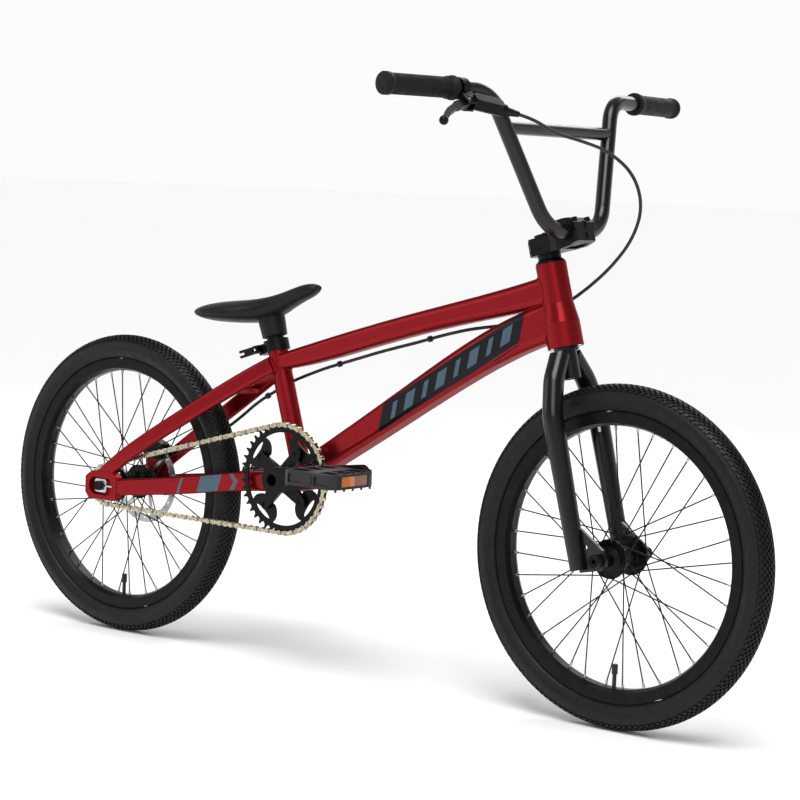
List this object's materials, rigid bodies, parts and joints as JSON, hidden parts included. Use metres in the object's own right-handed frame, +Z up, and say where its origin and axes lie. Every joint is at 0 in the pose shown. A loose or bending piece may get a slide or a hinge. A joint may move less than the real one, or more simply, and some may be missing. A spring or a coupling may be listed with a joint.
{
  "type": "bmx bicycle",
  "caption": "Small-wheeled race bicycle with a low frame, high cross-braced handlebar, single-speed chain drive and one rear hydraulic disc brake.",
  "frame": {"origin": "centre of the hollow crank spindle, on the bicycle's middle plane", "axes": "+X forward, +Y to the rider's left along the crank spindle, +Z up"},
  "size_m": [1.4826, 0.7192, 0.9156],
  "materials": {
    "frame_paint": "gloss candy red over metallic base",
    "fork_paint": "gloss black",
    "black_alloy": "satin black anodised",
    "black_steel": "black coated",
    "bright_steel": "zinc plated",
    "chain_plate": "pale gold nickel",
    "tyre_rubber": "matte",
    "grip_rubber": "matte ribbed",
    "black_plastic": "moulded",
    "saddle_plastic": "moulded, fine grain",
    "reflector": "prismatic amber",
    "rotor_steel": "ground",
    "pad_lining": "sintered"
  },
  "bodies": {
    "frame": {"head_tube": "frame_paint", "top_tube": "frame_paint", "down_tube": "frame_paint", "seat_tube": "frame_paint", "bb_shell": "frame_paint", "chainstays": "frame_paint", "seatstays": "frame_paint", "dropouts": "frame_paint", "chain_tensioners": "bright_steel", "rear_axle": "black_steel", "headset_bearings": "bright_steel", "bb_bearings": "black_alloy", "seat_clamp": "black_alloy", "brake_hose_front": "black_plastic", "brake_hose_rear": "black_plastic", "hose_clips": "black_plastic", "brake_caliper": "black_alloy", "chain": "chain_plate"},
    "steering": {"fork_steerer": "fork_paint", "fork_legs": "fork_paint", "fork_dropouts": "fork_paint", "front_axle": "black_steel", "headset_cover": "black_alloy", "stem_body": "black_alloy", "stem_cap": "black_alloy", "stem_bolts": "black_steel", "handlebar": "fork_paint", "grips": "grip_rubber", "brake_lever_body": "black_alloy", "lever_pivot_pin": "bright_steel"},
    "brake_lever": {"brake_lever_blade": "black_alloy"},
    "pad_left": {"brake_pad_left": "pad_lining"},
    "pad_right": {"brake_pad_right": "pad_lining"},
    "front_wheel": {"front_tyre": "tyre_rubber", "front_rim": "black_alloy", "front_spokes": "black_steel", "front_nipples": "bright_steel", "front_hub": "black_alloy", "front_valve": "black_plastic"},
    "rear_wheel": {"rear_tyre": "tyre_rubber", "rear_rim": "black_alloy", "rear_spokes": "black_steel", "rear_nipples": "bright_steel", "rear_hub": "black_alloy", "rear_valve": "black_plastic", "brake_rotor": "rotor_steel"},
    "cog": {"rear_cog": "bright_steel"},
    "crank": {"crank_spindle": "black_alloy", "crank_arm_right": "black_alloy", "crank_arm_left": "black_alloy", "chainring": "black_alloy", "chainring_bolts": "black_steel", "pedal_axles": "black_steel"},
    "right_pedal": {"right_pedal": "black_plastic", "right_pedal_reflectors": "reflector"},
    "left_pedal": {"left_pedal": "black_plastic", "left_pedal_reflectors": "reflector"},
    "seat_post": {"seat_post": "black_alloy"},
    "saddle": {"saddle": "saddle_plastic"},
    "quick_release": {"seat_quick_release": "black_alloy"}
  },
  "joints": [
    {"name": "steering_turn", "type": "hinge", "parent": "frame", "child": "steering", "pos_m": [0.4898, 0, 0.2403], "axis": [-0.2716, 0, 0.9624], "range_deg": [-75, 75], "deforming": ["brake_hose_front"]},
    {"name": "front_wheel_spin", "type": "hinge", "parent": "steering", "child": "front_wheel", "pos_m": [0.6, 0, -0.051], "axis": [0, 1, 0], "continuous": true},
    {"name": "rear_wheel_spin", "type": "hinge", "parent": "frame", "child": "rear_wheel", "pos_m": [-0.38681, 0, -0.051], "axis": [0, 1, 0], "continuous": true},
    {"name": "crank_spin", "type": "hinge", "parent": "frame", "child": "crank", "pos_m": [0, 0, 0], "axis": [0, 1, 0], "continuous": true, "deforming": ["chain"]},
    {"name": "cog_spin", "type": "hinge", "parent": "frame", "child": "cog", "pos_m": [-0.38681, 0, -0.051], "axis": [0, 1, 0], "continuous": true},
    {"name": "right_pedal_spin", "type": "hinge", "parent": "crank", "child": "right_pedal", "pos_m": [0.17284, -0.14, 0.02738], "axis": [0, 1, 0], "continuous": true},
    {"name": "left_pedal_spin", "type": "hinge", "parent": "crank", "child": "left_pedal", "pos_m": [-0.17284, 0.14, -0.02738], "axis": [0, 1, 0], "continuous": true},
    {"name": "brake_lever_pull", "type": "hinge", "parent": "steering", "child": "brake_lever", "pos_m": [0.46081, -0.22464, 0.5792], "axis": [-0.657, 0.0823, -0.7494], "range_deg": [0, 24], "stiffness_Nm_per_rad": 0.5, "springref_deg": -14.32},
    {"name": "pad_left_slide", "type": "slide", "parent": "frame", "child": "pad_left", "axis": [0, -1, 0], "range_m": [0, 0.00036]},
    {"name": "pad_right_slide", "type": "slide", "parent": "frame", "child": "pad_right", "axis": [0, 1, 0], "range_m": [0, 0.00036]},
    {"name": "seat_height", "type": "slide", "parent": "frame", "child": "seat_post", "axis": [-0.304, 0, 0.9527], "range_m": [0, 0.06]},
    {"name": "saddle_tilt", "type": "hinge", "parent": "seat_post", "child": "saddle", "pos_m": [-0.07662, 0, 0.24007], "axis": [0, 1, 0], "range_deg": [-8, 8]},
    {"name": "quick_release_open", "type": "hinge", "parent": "frame", "child": "quick_release", "pos_m": [-0.08747, -0.0215, 0.19514], "axis": [-0.304, 0, 0.9527], "range_deg": [0, 150]}
  ],
  "couplings": [
    {"joint": "cog_spin", "follows": "crank_spin", "ratio": 2.625},
    {"joint": "pad_left_slide", "follows": "brake_lever_pull", "m_per_rad": 0.00083556},
    {"joint": "pad_right_slide", "follows": "brake_lever_pull", "m_per_rad": 0.00083556}
  ]
}
